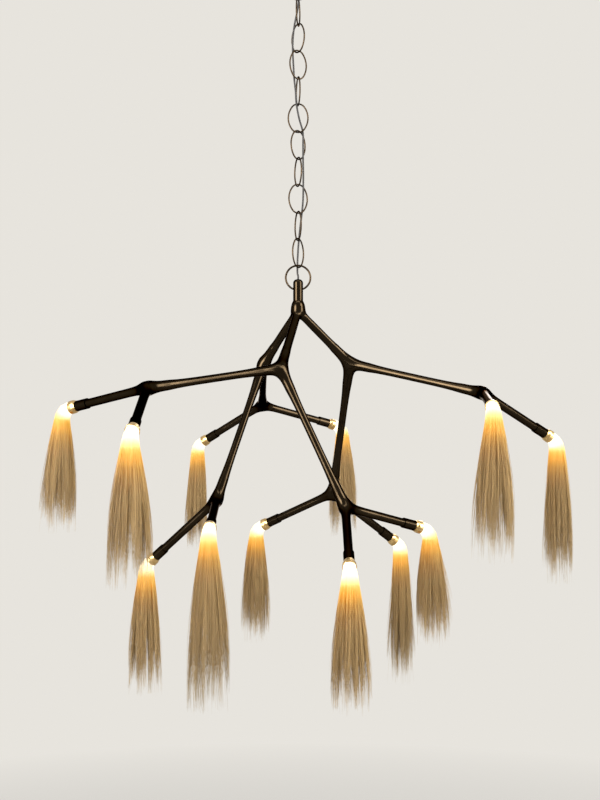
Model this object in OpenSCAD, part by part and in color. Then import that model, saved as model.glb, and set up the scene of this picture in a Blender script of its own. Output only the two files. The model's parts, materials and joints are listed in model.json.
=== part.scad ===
// A branching chandelier on a chain: three cast bronze branches leave a hub in
// three directions, fork twice, and end in twelve light tips with horsehair tassels.
// Millimetres, +Z up. The origin is the middle of the two ceiling screws, on the ceiling.

/* [Ceiling bracket] */
// Distance between the two ceiling screws
bracket_screw_spacing = 88.9; // [70:0.1:96]
// Diameter of the holes for the ceiling screws
bracket_screw_hole = 4.5; // [4:0.1:6]
// Length of the bracket strap
bracket_length = 110; // [104:1:128]
// Width of the bracket strap
bracket_width = 20; // [19:1:24]
// Thickness of the bracket strap
bracket_thick = 2.5; // [2:0.1:4]

/* [Canopy] */
// Outside diameter of the canopy
canopy_diameter = 150; // [140:1:180]
// Height of the canopy below the ceiling
canopy_height = 42; // [40:1:60]
// Sheet thickness of the canopy
canopy_wall = 1.5; // [1:0.1:2.5]
// Radius of the canopy's lower edge
canopy_edge = 12; // [6:1:16]

/* [Hanging hardware] */
// Outside diameter of the threaded tube that carries the load
nipple_diameter = 10; // [9:0.5:12]
// Bore of the threaded tube
nipple_bore = 6; // [4:0.5:7]
// Width across flats of its hexagon nuts
nut_flats = 17; // [15:0.5:19]
// Thickness of its hexagon nuts
nut_thick = 5; // [4:0.5:6]
// Diameter of the flange of the hanging loop
loop_flange = 28; // [24:1:36]
// Thickness of the flange of the hanging loop
loop_flange_thick = 3; // [2:0.5:5]
// Diameter of the neck of the hanging loop
loop_neck = 17; // [16:1:22]
// Length of the neck of the hanging loop
loop_neck_length = 11; // [10:1:20]
// Wire diameter of the hanging loop's eye
loop_wire = 5; // [4:0.5:6]
// Outside diameter of the hanging loop's eye
loop_eye = 31; // [30:1:40]

/* [LED driver] */
// Length, width and height of the LED driver
driver_size = [84, 32, 22]; // [10:1:90]
// Distance from the middle of the canopy to the near side of the driver
driver_offset = 13; // [12:1:15]

/* [Cord] */
// Diameter of the supply cord
cord_diameter = 4; // [3:0.1:4.5]
// Distance of the cord gland in front of the middle of the canopy
gland_offset = 24; // [20:1:30]
// Diameter of the gland's collar
gland_collar = 13; // [11:1:16]

/* [Chain] */
// Number of chain links
link_count = 10; // [10:1:10]
// Outside length of a link
link_length = 64.5; // [60:0.1:70]
// Outside width of a link
link_width = 45; // [40:0.5:48]
// Wire diameter of a link
link_wire = 3.2; // [2.8:0.1:3.6]
// Radius of the round ends of a link, along the middle of the wire
link_end_radius = 16; // [14:0.5:18]
// Running gap where two links bear on each other
link_gap = 0.3; // [0.2:0.05:0.5]
// Outside diameter of the round ring below the chain
ring_diameter = 56; // [50:1:64]
// Wire diameter of the round ring
ring_wire = 4; // [3.5:0.1:4.5]

/* [Stem and hub] */
// Diameter of the stem
stem_diameter = 21; // [20:0.5:24]
// Height of the stem above the crown, where the three branches meet
stem_top = 67; // [64:1:75]
// Radius of the stem's domed top
stem_dome = 8; // [5:0.5:9]
// Height of the ring's cross hole above the crown
eye_height = 45.5; // [42:0.5:50]
// Running gap between the ring and its cross hole
eye_gap = 0.35; // [0.25:0.05:0.5]
// Diameter of the hub's barrel
hub_diameter = 30; // [28:1:34]
// Height of the hub's top face above the crown
hub_top = 21; // [18:1:24]
// Diameter of the cord's hole down the stem
cord_hole = 6; // [5.5:0.1:6.4]
// Distance of the cord's hole behind the stem's axis
cord_hole_offset = 5.5; // [5.4:0.1:6]

/* [Branches] */
// Plan angle of the first upper arm, from +X
branch_turn = 12; // [0:1:40]
// Plan reach of the upper arms
upper_reach = 112; // [100:1:130]
// Depth of the three main knuckles below the crown
main_depth = [109, 130, 104]; // [95:1:140]
// Plan reach of the outer arms
outer_reach = 294; // [260:1:320]
// Plan angle of the outer arms against +X, on the first branch
outer_turn = -27.6; // [-40:0.1:-15]
// Depth of the outer knuckles below the crown
outer_depth = 180; // [165:1:200]
// Plan reach of the inner arms
inner_reach = 133; // [115:1:150]
// Plan angle of the inner arms, on the first branch
inner_turn = 104.4; // [95:0.1:115]
// Depth of the three inner knuckles below the crown
inner_depth = [387, 407, 398]; // [370:1:430]

/* [Light tips] */
// Plan reach of the four kinds of tip arm, from knuckle to collar mouth
tip_reach = [173, 195, 180, 167]; // [140:1:220]
// Plan angle of the four kinds of tip arm, on the first branch
tip_turn = [29.1, -93.8, 149.9, 30.3]; // [-120:0.1:160]
// Depth below the crown of the collar mouths of the long outer tips
outer_tip_depth = [266, 266, 266]; // [240:1:290]
// Depth below the crown of the collar mouths of the side outer tips
side_tip_depth = [218, 211, 225]; // [200:1:245]
// Depth below the crown of the collar mouths of the high inner tips
high_tip_depth = [462, 451, 446]; // [430:1:480]
// Depth below the crown of the collar mouths of the low inner tips
low_tip_depth = [498, 510, 529]; // [480:1:550]

/* [Arm thickness] */
// Arm diameter where it meets a knuckle
arm_end = 20; // [18:0.5:22]
// Diameter of the upper arms where they leave the hub
upper_start = 17; // [15:0.5:19]
// Diameter of the upper arms at mid length
upper_waist = 17.5; // [16:0.5:20]
// Diameter of the outer and inner arms at mid length
long_waist = 15.5; // [14:0.5:18]
// Diameter of the tip arms at their light end
tip_arm_end = 17.2; // [16.5:0.1:18]
// Bore of the arms for the wiring
arm_bore = 8; // [7:0.5:9]
// Length of a knuckle's sleeve along each arm
knuckle_reach = 46; // [40:1:52]
// Length of the hub's sleeves along the upper arms
hub_reach = 32; // [30:1:40]
// Diameter of a limb's core in the middle of a knuckle, where the web takes over
limb_core = 10; // [8:0.5:16]
// Size of the soft web in the forks
web = 8; // [5:0.5:9]
// Size of the web where the upper arms leave the hub
hub_web = 2.5; // [2:0.1:4]

/* [Tip parts] */
// Outside diameter of the tip sleeve at the collar
sleeve_diameter = 21; // [20.5:0.1:22]
// Length of the tip sleeve
sleeve_length = 28; // [26:1:34]
// Depth of the socket that takes the tip arm
socket_depth = 10; // [8:1:12]
// Length of the brass collar
collar_length = 16; // [14:1:20]
// Mouth diameter of the brass collar
collar_mouth = 27; // [26:0.5:30]
// Wall of the brass collar at its mouth
collar_wall = 0.9; // [0.7:0.1:1.5]
// Diameter of the light module
module_diameter = 17; // [15:0.5:17.2]
// Length of the light module
module_length = 20; // [18:0.5:20.5]
// Diameter of the glass lens
lens_diameter = 16; // [14:0.5:16.4]
// Clearance between the tip's parts
tip_gap = 0.15; // [0.1:0.05:0.2]

/* [Tassels] */
// Length of hair below the long outer tips
outer_hair = [302, 267, 267]; // [230:1:350]
// Length of hair below the side outer tips
side_hair = [281, 245, 277]; // [230:1:350]
// Length of hair below the high inner tips
high_hair = [265, 242, 343]; // [230:1:350]
// Length of hair below the low inner tips
low_hair = [322, 259, 285]; // [230:1:350]
// Width, where they are fullest, of the tassels on the long outer tips
outer_width = [61, 80, 52]; // [50:1:84]
// Width of the tassels on the side outer tips
side_width = [78, 69, 69]; // [50:1:84]
// Width of the tassels on the high inner tips
high_width = [67, 69, 80]; // [50:1:84]
// Width of the tassels on the low inner tips
low_width = [50, 69, 67]; // [50:1:84]
// Radius in which the hair turns down at the collar
hair_bend = 22; // [20:1:30]
// Strands in the outer ring of a tassel
outer_strands = 14; // [12:1:20]
// Strands in the inner ring of a tassel
inner_strands = 11; // [10:1:16]

/* [Hidden] */
$fn = 48;
UNITS = ["a", "b", "c"];
KINDS = ["outer", "side", "high", "low"];
TURNS = [0, -120, 120];
// Plan angle of each link, as the photographed chain hangs, slightly twisted
LINK_TURNS = [80, -51, 34, 101, 0, 45, 110, 22, 108, 57];

function two_digits(n) = str(n < 10 ? "0" : "", n);
function link_name(i) = str("chain_link_", two_digits(i + 1));
function unit_name(name, b) = str(name, "_", UNITS[b]);
function tassel_name(b, k) = str("tassel_", UNITS[b], "_", KINDS[k]);

BRANCH_PARTS = ["upper_arm", "main_knuckle", "outer_arm", "inner_arm", "outer_branch", "inner_branch"];

bronze = [0.13, 0.11, 0.09];
brass = [0.78, 0.6, 0.3];
steel = [0.7, 0.7, 0.7];
hair = [0.86, 0.74, 0.53];
black = [0.08, 0.08, 0.08];

// Heights of the hanging parts, from the ceiling down
thread_gap = 0.1;
cord_gap = 0.2;
eye_ring_r = (loop_eye - loop_wire) / 2;
eye_ring_z = -(canopy_height + loop_flange_thick + loop_neck_length + eye_ring_r);
link_half = (link_length - link_wire) / 2;
link_half_width = (link_width - link_wire) / 2;
link_pitch = link_length - 2 * link_wire - link_gap;
first_link_z = eye_ring_z - eye_ring_r + (loop_wire + link_wire) / 2 + link_gap - link_half;
last_link_z = first_link_z - (link_count - 1) * link_pitch;
ring_r = (ring_diameter - ring_wire) / 2;
ring_z = last_link_z - link_half + (link_wire + ring_wire) / 2 + link_gap - ring_r;
ring_rise = ring_r - sqrt(pow(ring_r, 2) - pow(stem_diameter / 2, 2));
ring_hole_z = ring_z - ring_r + ring_rise / 2;
ring_hole_r = ring_wire / 2 + ring_rise / 2 + eye_gap;
crown_z = ring_hole_z - eye_height;
crown = [0, 0, crown_z];

// Places of the knuckles and light tips
function unit(v) = v / norm(v);
function reach_from(base, reach, turn, depth) =
    [base.x + reach * cos(turn), base.y + reach * sin(turn), crown_z - depth];
function main_point(b) = reach_from(crown, upper_reach, branch_turn + TURNS[b], main_depth[b]);
function outer_point(b) = reach_from(main_point(b), outer_reach, outer_turn + TURNS[b], outer_depth);
function inner_point(b) = reach_from(main_point(b), inner_reach, inner_turn + TURNS[b], inner_depth[b]);
function tip_depth(k) = [outer_tip_depth, side_tip_depth, high_tip_depth, low_tip_depth][k];
function hair_drop(k) = [outer_hair, side_hair, high_hair, low_hair][k];
function hair_width(k) = [outer_width, side_width, high_width, low_width][k];
function tip_root(b, k) = k < 2 ? outer_point(b) : inner_point(b);
function tip_point(b, k) = reach_from(tip_root(b, k), tip_reach[k], tip_turn[k] + TURNS[b], tip_depth(k)[b]);
function tip_direction(b, k) = unit(tip_point(b, k) - tip_root(b, k));

// Turns the Z axis to a direction
module aim(d) {
    rotate([0, acos(d.z / norm(d)), atan2(d.y, d.x)]) children();
}

// Smooth forks: the skin of a knuckle lies where its limbs, each a round bar from the
// knuckle's centre, melt into each other. A limb is [direction, length, radius at the
// centre, radius at the end, power of the distance, power of the fall].
function total(list) = list * [for (x = list) 1];
function limb_radius(limb, t) =
    limb[3] + (limb[2] - limb[3]) * pow(1 - pow(min(1, t / limb[1]), limb[4]), limb[5]);
function limb_gap(p, limb) =
    let (t = max(0, p * limb[0])) norm(p - t * limb[0]) - limb_radius(limb, t);
function skin(p, limbs, melt) =
    -melt * ln(total([for (limb = limbs) exp(-limb_gap(p, limb) / melt)]));
function skin_reach(base, way, limbs, melt, near = 0, far = 60, steps = 16) =
    let (mid = (near + far) / 2)
    steps == 0 ? mid
    : skin(base + mid * way, limbs, melt) > 0 ? skin_reach(base, way, limbs, melt, near, mid, steps - 1)
    : skin_reach(base, way, limbs, melt, mid, far, steps - 1);

// A seam is the arc of directions, equally far from two limbs, from one corner to another
seam_steps = 18;
function seam(corner_a, corner_b, limb_a, limb_b, steps) =
    let (
        between = unit(limb_a[0] + limb_b[0]),
        across = unit(between - (between * corner_a) * corner_a),
        sweep = acos(max(-1, min(1, corner_a * corner_b)))
    )
    [for (k = [0:steps]) cos(k / steps * sweep) * corner_a + sin(k / steps * sweep) * across];
function backward(list) = [for (k = [len(list) - 1:-1:0]) list[k]];
function corner(limbs, i, j, k) =
    unit(cross(limbs[i][0] - limbs[j][0], limbs[j][0] - limbs[k][0]));
function facing(v, d) = v * d < 0 ? -v : v;

// The rings of one sleeve, from the seams out to the round end
sleeve_rings = 4;
function ring_distances(length, reach) = concat(
    [for (j = [1:sleeve_rings]) j / sleeve_rings * reach],
    length > reach + 1 ? [for (j = [1:4]) reach + j / 4 * (length - reach)] : []
);
function sleeve_points(limb, ways, limbs, reach, melt) =
    let (d = limb[0], stops = ring_distances(limb[1], reach))
    concat(
        [for (way = ways) way * skin_reach([0, 0, 0], way, limbs, melt)],
        [for (t = stops) for (way = ways)
            let (
                out = unit(way - (way * d) * d),
                turned = unit((1 - min(1, t / reach)) * way + min(1, t / reach) * out)
            )
            t * d + turned * (t == limb[1] ? limb[3] : skin_reach(t * d, turned, limbs, melt))]
    );
function ring_faces(first, count, rings) = [
    for (j = [0:rings - 1]) for (a = [0:count - 1])
        let (
            p = first + j * count + a,
            q = first + j * count + (a + 1) % count
        )
        each [[p, q, p + count], [q, q + count, p + count]]
];

// A knuckle from its limbs, the seams between them and each limb's closed row of seams
module knuckle_skin(limbs, corners, seams, rows, reach, melt) {
    arcs = [for (s = seams)
        seam(corners[s[2]], corners[s[3]], limbs[s[0]], limbs[s[1]], seam_steps / len(rows[0]))];
    ways = [for (row = rows) [for (step = row)
        let (arc = step[1] > 0 ? arcs[step[0]] : backward(arcs[step[0]]))
        for (k = [0:len(arc) - 2]) arc[k]]];
    sleeves = [for (i = [0:len(limbs) - 1]) sleeve_points(limbs[i], ways[i], limbs, reach, melt)];
    starts = [for (i = [0:len(limbs) - 1]) total([for (j = [0:i]) j < i ? len(sleeves[j]) : 0])];
    faces = [for (i = [0:len(limbs) - 1])
        let (
            count = len(ways[i]),
            rings = len(sleeves[i]) / count - 1
        )
        each concat(
            ring_faces(starts[i], count, rings),
            [[for (a = [0:count - 1]) starts[i] + rings * count + a]]
        )];
    polyhedron(points = [for (s = sleeves) each s], faces = faces, convexity = 6);
}

FORK_SEAMS = [[0, 1, 0, 1], [1, 2, 0, 1], [0, 2, 0, 1]];
FORK_ROWS = [[[0, 1], [2, -1]], [[1, 1], [0, -1]], [[2, 1], [1, -1]]];
HUB_SEAMS = [[1, 2, 0, 1], [2, 3, 0, 2], [1, 3, 0, 3], [0, 1, 1, 3], [0, 2, 1, 2], [0, 3, 2, 3]];
HUB_ROWS = [
    [[3, 1], [5, -1], [4, -1]],
    [[3, -1], [0, -1], [2, 1]],
    [[4, 1], [1, -1], [0, 1]],
    [[5, 1], [2, -1], [1, 1]]
];

// A forked knuckle at a point, bored along each limb for the wiring
module fork(centre, limbs) {
    pole = corner(limbs, 0, 1, 2);
    translate(centre) difference() {
        knuckle_skin(limbs, [pole, -pole], FORK_SEAMS, FORK_ROWS, knuckle_reach, web);
        for (limb = limbs)
            aim(limb[0]) cylinder(d = arm_bore, h = limb[1] + 1, $fn = 12);
    }
}

function arm_limb(from, to) =
    [unit(to - from), knuckle_reach, limb_core / 2, arm_end / 2, 1, 5];
function tip_limb(b, k) =
    [tip_direction(b, k), tip_arm_length(b, k), limb_core / 2, tip_arm_end / 2, 1, 18];
function tip_arm_length(b, k) =
    norm(tip_point(b, k) - tip_root(b, k)) - collar_length - sleeve_length + socket_depth - tip_gap;

// A round arm between two knuckles, slim at mid length, with a bore for the wiring
arm_steps = 12;
module arm(from, to, from_reach, to_reach, waist, start = arm_end) {
    way = unit(to - from);
    length = norm(to - from) - from_reach - to_reach;
    side = [for (k = [0:arm_steps])
        let (
            u = k / arm_steps,
            end = u < 0.5 ? start : arm_end
        )
        [waist / 2 + (end - waist) / 2 * pow(abs(2 * u - 1), 4), u * length]];
    translate(from + from_reach * way) aim(way)
        rotate_extrude() polygon(concat([[arm_bore / 2, 0]], side, [[arm_bore / 2, length]]));
}

module ceiling_bracket() {
    color(steel) translate([0, 0, -bracket_thick]) linear_extrude(bracket_thick) difference() {
        union() {
            square([bracket_length - bracket_width, bracket_width], center = true);
            for (side = [-1, 1])
                translate([side * (bracket_length - bracket_width) / 2, 0]) circle(d = bracket_width);
        }
        circle(d = nipple_diameter + 2 * thread_gap);
        for (side = [-1, 1])
            translate([side * bracket_screw_spacing / 2, 0]) circle(d = bracket_screw_hole);
    }
}

// The threaded tube ends in the hanging loop's blind bore
nipple_seat = loop_flange_thick + loop_neck_length * 0.7;
module threaded_nipple() {
    color(steel) translate([0, 0, -(canopy_height + nipple_seat)]) difference() {
        cylinder(d = nipple_diameter, h = canopy_height + nipple_seat - 0.5);
        translate([0, 0, -1]) cylinder(d = nipple_bore, h = canopy_height + nipple_seat + 2);
    }
}

module hex_nut(flats, thick, bore) {
    difference() {
        cylinder(d = flats / cos(30), h = thick, $fn = 6);
        translate([0, 0, -1]) cylinder(d = bore, h = thick + 2);
    }
}

module nipple_nuts() {
    color(steel) for (z = [-bracket_thick - nut_thick, canopy_wall - canopy_height])
        translate([0, 0, z]) hex_nut(nut_flats, nut_thick, nipple_diameter + 2 * thread_gap);
}

// Half outline of a round cup, open at its top
module cup_outline(radius, height, edge) {
    square([radius - edge, height]);
    translate([0, edge]) square([radius, height - edge]);
    translate([radius - edge, edge]) circle(edge);
}

gland_neck = gland_collar - 4;
module canopy() {
    inner_edge = canopy_edge - canopy_wall;
    color(bronze) translate([0, 0, -canopy_height]) difference() {
        rotate_extrude($fn = 96) difference() {
            cup_outline(canopy_diameter / 2, canopy_height, canopy_edge);
            translate([-1, canopy_wall]) square([2, canopy_height]);
            translate([0, canopy_wall])
                cup_outline(canopy_diameter / 2 - canopy_wall, canopy_height, inner_edge);
        }
        translate([0, 0, -1]) cylinder(d = nipple_diameter + 4 * thread_gap, h = canopy_wall + 2);
        translate([0, -gland_offset, -1])
            cylinder(d = gland_neck + 2 * thread_gap, h = canopy_wall + 2);
    }
}

module hanging_loop() {
    color(bronze) difference() {
        union() {
            translate([0, 0, -canopy_height - loop_flange_thick])
                cylinder(d = loop_flange, h = loop_flange_thick);
            translate([0, 0, eye_ring_z + eye_ring_r])
                cylinder(d = loop_neck, h = loop_neck_length);
            translate([0, 0, eye_ring_z]) rotate([90, 0, 0])
                rotate_extrude() translate([eye_ring_r, 0]) circle(d = loop_wire);
        }
        translate([0, 0, -canopy_height - nipple_seat])
            cylinder(d = nipple_diameter + 2 * thread_gap, h = nipple_seat + 1);
    }
}

// An LED driver lies in the canopy behind the threaded tube
module led_driver() {
    round = 3;
    color("white")
        translate([-driver_size.x / 2, driver_offset, canopy_wall - canopy_height])
        linear_extrude(driver_size.z) {
            translate([round, 0]) square([driver_size.x - 2 * round, driver_size.y]);
            translate([0, round]) square([driver_size.x, driver_size.y - 2 * round]);
            for (x = [round, driver_size.x - round], y = [round, driver_size.y - round])
                translate([x, y]) circle(round);
        }
}

gland_drop = 12;
gland_nut_thick = 4;
module cord_gland() {
    bore = cord_diameter / 2 + cord_gap;
    color(black) translate([0, -gland_offset, -canopy_height]) {
        rotate_extrude() polygon([
            [bore, -gland_drop], [bore + 1.2, -gland_drop], [gland_collar / 2, -4],
            [gland_collar / 2, 0], [gland_neck / 2, 0], [gland_neck / 2, canopy_wall + gland_nut_thick + 1],
            [bore, canopy_wall + gland_nut_thick + 1]
        ]);
        translate([0, 0, canopy_wall])
            hex_nut(gland_collar, gland_nut_thick, gland_neck + 2 * thread_gap);
    }
}

// A tube of ring_sides sides swept along a smooth curve through the points of a route
ring_sides = 8;
function curve_point(p, i, u) =
    let (
        last = len(p) - 1,
        a = p[max(0, i - 1)],
        b = p[i],
        c = p[i + 1],
        d = p[min(last, i + 2)]
    )
    (2 * b + (c - a) * u + (2 * a - 5 * b + 4 * c - d) * u * u + (3 * b - a - 3 * c + d) * u * u * u) / 2;
function smooth_route(p, steps) = concat(
    [for (i = [0:len(p) - 2]) for (k = [0:steps - 1]) curve_point(p, i, k / steps)],
    [p[len(p) - 1]]
);
function route_way(p, i) = unit(p[min(len(p) - 1, i + 1)] - p[max(0, i - 1)]);
function upright(side, way) = unit(side - (side * way) * way);
// Each ring's side direction follows from the ring before it, so the tube doesn't twist
function carried_sides(p, i, side) =
    i == len(p) ? [] :
    let (now = upright(side, route_way(p, i)))
    concat([now], carried_sides(p, i + 1, now));
module swept_tube(p, radius, first_side) {
    sides = carried_sides(p, 0, first_side);
    points = [for (i = [0:len(p) - 1]) for (k = [0:ring_sides - 1])
        let (turn = 360 * k / ring_sides)
        p[i] + radius * (cos(turn) * sides[i] + sin(turn) * cross(route_way(p, i), sides[i]))];
    faces = concat(
        [[for (k = [0:ring_sides - 1]) k]],
        [for (i = [0:len(p) - 2]) for (k = [0:ring_sides - 1])
            let (
                a = i * ring_sides + k,
                b = i * ring_sides + (k + 1) % ring_sides
            )
            each [[a, a + ring_sides, b], [b, a + ring_sides, b + ring_sides]]],
        [[for (k = [ring_sides - 1:-1:0]) (len(p) - 1) * ring_sides + k]]
    );
    polyhedron(points = points, faces = faces, convexity = 10);
}

module link_wire_arc(centre, radius, from, sweep, wire) {
    translate([centre.x, centre.y, 0])
        rotate_extrude(angle = sweep, start = from) translate([radius, 0]) circle(d = wire);
}

// An oval link of four arcs, with a low brazed collar where two arcs meet
join_turn = 0.3;
join_height = 0.08;
join_length = 2;
module oval_link() {
    rise = link_half - link_end_radius;
    side_r = (pow(link_half_width, 2) + pow(rise, 2) - pow(link_end_radius, 2))
        / (2 * (link_half_width - link_end_radius));
    lean = atan2(rise, side_r - link_half_width);
    rotate([90, 0, 0]) for (turn = [0, 180]) rotate(turn) {
        link_wire_arc([link_half_width - side_r, 0], side_r, join_turn - lean, 2 * (lean - join_turn), link_wire);
        link_wire_arc([0, rise], link_end_radius, lean + 2 * join_turn, 180 - 2 * lean - 4 * join_turn, link_wire);
        for (side = [-1, 1])
            translate([0, rise, 0]) rotate(90 + side * (90 - lean)) translate([link_end_radius, 0, 0])
                rotate([90, 0, 0]) cylinder(d = link_wire + 2 * join_height, h = join_length, center = true);
    }
}

module chain_link(i) {
    color(bronze) translate([0, 0, first_link_z - i * link_pitch])
        rotate(LINK_TURNS[i]) oval_link();
}

module suspension_ring() {
    color(bronze) translate([0, 0, ring_z]) rotate([90, 0, 0])
        rotate_extrude($fn = 96) translate([ring_r, 0]) circle(d = ring_wire);
}

// The stem: a round bar with a domed top, a cross hole for the ring and a hole for the cord
module stem() {
    length = stem_top - hub_top;
    color(bronze) translate([0, 0, crown_z + hub_top]) difference() {
        rotate_extrude() {
            square([stem_diameter / 2, length - stem_dome]);
            square([stem_diameter / 2 - stem_dome, length]);
            translate([stem_diameter / 2 - stem_dome, length - stem_dome])
                intersection() {
                    circle(stem_dome);
                    square(stem_dome);
                }
        }
        translate([0, 0, eye_height - hub_top]) rotate([0, 90, 0])
            cylinder(r = ring_hole_r, h = 2 * stem_diameter, center = true);
        translate([0, cord_hole_offset, -1]) cylinder(d = cord_hole, h = length + 2);
    }
}

// The hub melts the stem's barrel and the three upper arms into one casting
wire_room = 19;
splice_diameter = 15.6;
splice_height = 10;
module hub() {
    ends = [for (b = [0, 2, 1]) unit(main_point(b) - crown)];
    limbs = concat(
        [[[0, 0, 1], hub_top, hub_diameter / 2, stem_diameter / 2, 3, 1]],
        [for (way = ends) [way, hub_reach, upper_start / 2, upper_start / 2, 1, 2]]
    );
    corners = [
        facing(corner(limbs, 1, 2, 3), [0, 0, -1]),
        facing(corner(limbs, 0, 1, 2), ends[0] + ends[1]),
        facing(corner(limbs, 0, 2, 3), ends[1] + ends[2]),
        facing(corner(limbs, 0, 3, 1), ends[2] + ends[0])
    ];
    color(bronze) translate(crown) difference() {
        knuckle_skin(limbs, corners, HUB_SEAMS, HUB_ROWS, hub_top, hub_web);
        for (way = ends) aim(way) cylinder(d = arm_bore, h = hub_reach + 1);
        sphere(d = wire_room);
        translate([0, cord_hole_offset, 0]) cylinder(d = cord_hole, h = hub_top + 1);
    }
}

module upper_arm(b) {
    color(bronze) arm(crown, main_point(b), hub_reach, knuckle_reach, upper_waist, upper_start);
}

module main_knuckle(b) {
    centre = main_point(b);
    color(bronze) fork(centre, [
        arm_limb(centre, crown), arm_limb(centre, outer_point(b)), arm_limb(centre, inner_point(b))
    ]);
}

module outer_arm(b) {
    color(bronze) arm(main_point(b), outer_point(b), knuckle_reach, knuckle_reach, long_waist);
}

module inner_arm(b) {
    color(bronze) arm(main_point(b), inner_point(b), knuckle_reach, knuckle_reach, long_waist);
}

module outer_branch(b) {
    color(bronze) fork(outer_point(b), [
        arm_limb(outer_point(b), main_point(b)), tip_limb(b, 0), tip_limb(b, 1)
    ]);
}

module inner_branch(b) {
    color(bronze) fork(inner_point(b), [
        arm_limb(inner_point(b), main_point(b)), tip_limb(b, 2), tip_limb(b, 3)
    ]);
}

// Puts a light tip's part at every collar mouth, with +Z out of the mouth
module at_tips() {
    for (b = [0:2], k = [0:3])
        translate(tip_point(b, k)) aim(tip_direction(b, k)) children();
}

// Places along a light tip, counted back from the collar's mouth
seat_depth = 7.5;
lens_rise = 2;
lens_base = seat_depth + 2;
spigot_length = 5;
module_wall = tip_gap + module_diameter / 2;
pocket_depth = lens_base + module_length + tip_gap;
socket_end = collar_length + sleeve_length - socket_depth;
wire_hole = 5;
wire_r = 1.5;

module tip_sleeves() {
    socket_r = tip_arm_end / 2 + tip_gap;
    spigot_r = module_wall + 0.9;
    color(bronze) at_tips() difference() {
        union() {
            translate([0, 0, -collar_length - sleeve_length])
                cylinder(d = sleeve_diameter, h = sleeve_length);
            translate([0, 0, -collar_length - 1]) cylinder(r = spigot_r, h = spigot_length + 1);
        }
        translate([0, 0, -pocket_depth]) cylinder(r = module_wall, h = pocket_depth);
        translate([0, 0, -socket_end - 1]) cylinder(d = wire_hole, h = socket_end);
        translate([0, 0, -collar_length - sleeve_length - 1]) cylinder(r = socket_r, h = socket_depth + 1);
    }
}

module tip_collars() {
    seat_r = collar_mouth / 2 - collar_wall;
    spigot_r = module_wall + 0.9 + tip_gap;
    back_r = sleeve_diameter / 2 + 0.4;
    color(brass) at_tips() rotate_extrude() polygon([
        [spigot_r, -collar_length], [back_r, -collar_length], [back_r + 0.5, -collar_length + 3],
        [collar_mouth / 2 - 0.4, -seat_depth - 1.2], [collar_mouth / 2, -2], [collar_mouth / 2, -0.4],
        [collar_mouth / 2 - 0.4, 0], [seat_r, 0], [seat_r, -seat_depth],
        [module_wall, -seat_depth], [module_wall, -collar_length + spigot_length + tip_gap],
        [spigot_r, -collar_length + spigot_length + tip_gap]
    ]);
}

module light_modules() {
    color(steel) at_tips() translate([0, 0, -lens_base - module_length])
        cylinder(d = module_diameter, h = module_length);
}

module glass_lenses() {
    r = lens_diameter / 2;
    color("lightyellow") at_tips() translate([0, 0, -lens_base]) rotate_extrude() {
        square([r, lens_base + lens_rise]);
        translate([0, lens_base + lens_rise]) intersection() {
            circle(r);
            square(r);
        }
    }
}

module wire_run(from, to) {
    translate(from) aim(to - from) cylinder(r = wire_r, h = norm(to - from), $fn = 8);
}

// The wiring: a splice in the hub, a wire down each arm and one to each light module
module arm_wiring() {
    color("red") {
        translate(crown - [0, 0, splice_height / 2]) cylinder(d = splice_diameter, h = splice_height);
        for (b = [0:2]) {
            wire_run(crown, main_point(b));
            wire_run(main_point(b), outer_point(b));
            wire_run(main_point(b), inner_point(b));
            for (joint = [main_point(b), outer_point(b), inner_point(b)])
                translate(joint) cube(2 * wire_r + 1, center = true);
            for (k = [0:3])
                wire_run(tip_root(b, k), tip_point(b, k) - (lens_base + module_length) * tip_direction(b, k));
        }
    }
}

// Hair: strands leave the collar's mouth along the arm, turn down and hang
plug_depth = 5;
plug_inner = lens_diameter / 2 + 0.25;
plug_outer = collar_mouth / 2 - collar_wall - tip_gap;
hair_lead = 3;
full_at = 0.6;
root_rings = [plug_outer - 1, plug_inner + 1.2];
strand_r = [0.75, 0.8, 1.5, 2, 3];
function lean_of(d) = asin(-d.z);
function hair_frame(d, theta) =
    let (h = unit([d.x, d.y, 0]))
    [sin(theta) * h + cos(theta) * [0, 0, 1], [-h.y, h.x, 0], cos(theta) * h - sin(theta) * [0, 0, 1]];
// The middle of the tassel at a turn theta, from the arm's own lean to straight down
function bend_point(p, d, theta) =
    p + hair_lead * d + hair_bend * (hair_frame(d, theta)[0] - hair_frame(d, lean_of(d))[0]);
function hair_stop(p, d, drop, i) =
    let (lean = lean_of(d), low = bend_point(p, d, 90))
    i == 0 ? [p - plug_depth * 0.6 * d, hair_frame(d, lean)]
    : i == 1 ? [p + hair_lead * d, hair_frame(d, lean)]
    : i == 2 ? [bend_point(p, d, (lean + 90) / 2), hair_frame(d, (lean + 90) / 2)]
    : i == 3 ? [low, hair_frame(d, 90)]
    : i == 4 ? [[low.x, low.y, p.z - drop * full_at], hair_frame(d, 90)]
    : [[low.x, low.y, p.z - drop], hair_frame(d, 90)];
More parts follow.
